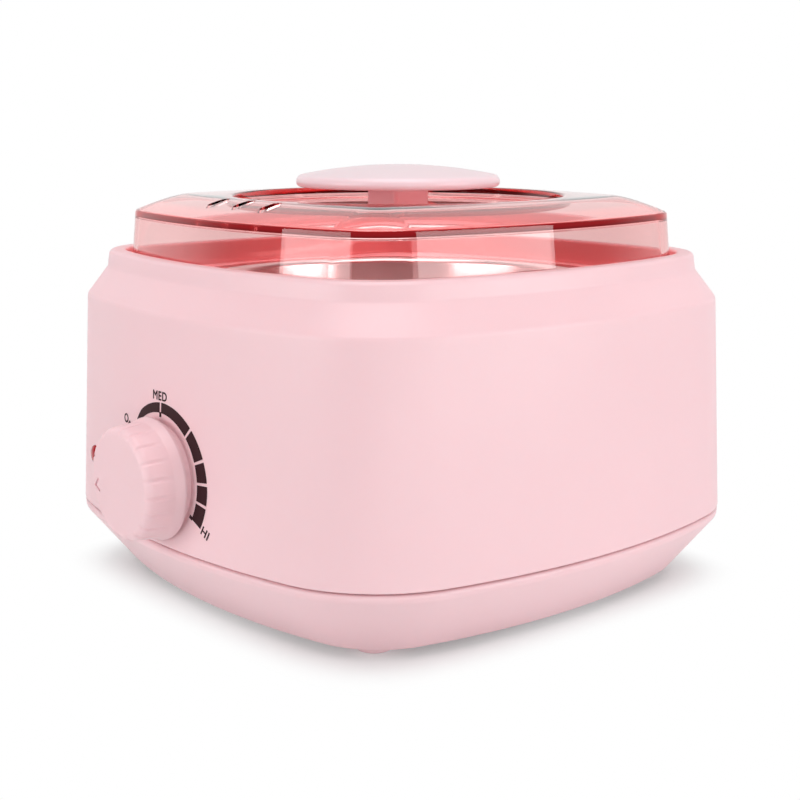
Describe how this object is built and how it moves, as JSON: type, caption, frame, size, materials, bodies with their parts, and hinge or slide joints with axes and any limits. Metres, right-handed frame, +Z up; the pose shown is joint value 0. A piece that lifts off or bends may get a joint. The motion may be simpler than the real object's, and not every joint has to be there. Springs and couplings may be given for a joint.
{
  "type": "wax warmer",
  "caption": "Table-top wax warmer: bulged square pink housing on a sloped base, clear rose lid with a round handle, lift-out metal pot, heat dial knob and red lamp.",
  "frame": {"origin": "centre of the object's footprint box, on the surface it stands on", "axes": "+Z up, the dial faces -Y, the cord inlet faces +Y, +X to the right seen from the front"},
  "size_m": [0.1872, 0.2008, 0.135],
  "materials": {
    "clear_rose_plastic": "clear rose-tinted moulded plastic, polished",
    "pale_pink_plastic": "pale pink moulded plastic, satin",
    "pink_plastic": "pink moulded plastic, fine satin grain",
    "pink_rubber": "soft pink rubber",
    "pot_aluminium": "spun and brushed aluminium",
    "well_aluminium": "plain drawn aluminium",
    "zinc_steel": "zinc plated steel",
    "terminal_brass": "plain brass",
    "mica_sheet": "layered mica sheet",
    "white_plastic": "white moulded plastic",
    "black_plastic": "black moulded plastic",
    "red_lens": "clear red lens",
    "lead_sleeve": "woven heat-proof sleeve"
  },
  "bodies": {
    "housing": {"upper_housing": "pink_plastic", "base_cover": "pink_plastic", "rubber_feet": "pink_rubber", "base_screws": "zinc_steel", "heater_well": "well_aluminium", "well_screws": "zinc_steel", "heater_band": "mica_sheet", "heater_tabs": "terminal_brass", "band_strap": "zinc_steel", "strap_screw": "zinc_steel", "strap_nut": "zinc_steel", "thermal_fuse": "white_plastic", "fuse_clip": "zinc_steel", "heat_shield": "zinc_steel", "shield_screws": "zinc_steel", "thermostat_body": "white_plastic", "thermostat_tabs": "terminal_brass", "thermostat_bushing": "terminal_brass", "thermostat_nut": "terminal_brass", "lamp_lens": "red_lens", "lamp_holder": "black_plastic", "inlet_bush": "black_plastic", "inlet_nut": "black_plastic", "terminal_block": "white_plastic", "terminal_screws": "terminal_brass", "heater_leads": "lead_sleeve", "lamp_leads": "lead_sleeve"},
    "dial": {"dial_knob": "pink_plastic", "thermostat_shaft": "zinc_steel"},
    "pot": {"wax_pot": "pot_aluminium"},
    "lid": {"lid_shell": "clear_rose_plastic", "lid_handle": "pale_pink_plastic", "lid_screw": "zinc_steel", "lid_washer": "zinc_steel"}
  },
  "joints": [
    {"name": "dial_turn", "type": "hinge", "parent": "housing", "child": "dial", "pos_m": [0, -0.09, 0.0452], "axis": [0, 1, 0], "range_deg": [0, 220]},
    {"name": "pot_lift", "type": "slide", "parent": "housing", "child": "pot", "axis": [0, 0, 1], "range_m": [0, 0.075]},
    {"name": "lid_lift", "type": "slide", "parent": "pot", "child": "lid", "axis": [0, 0, 1], "range_m": [0, 0.06]}
  ]
}
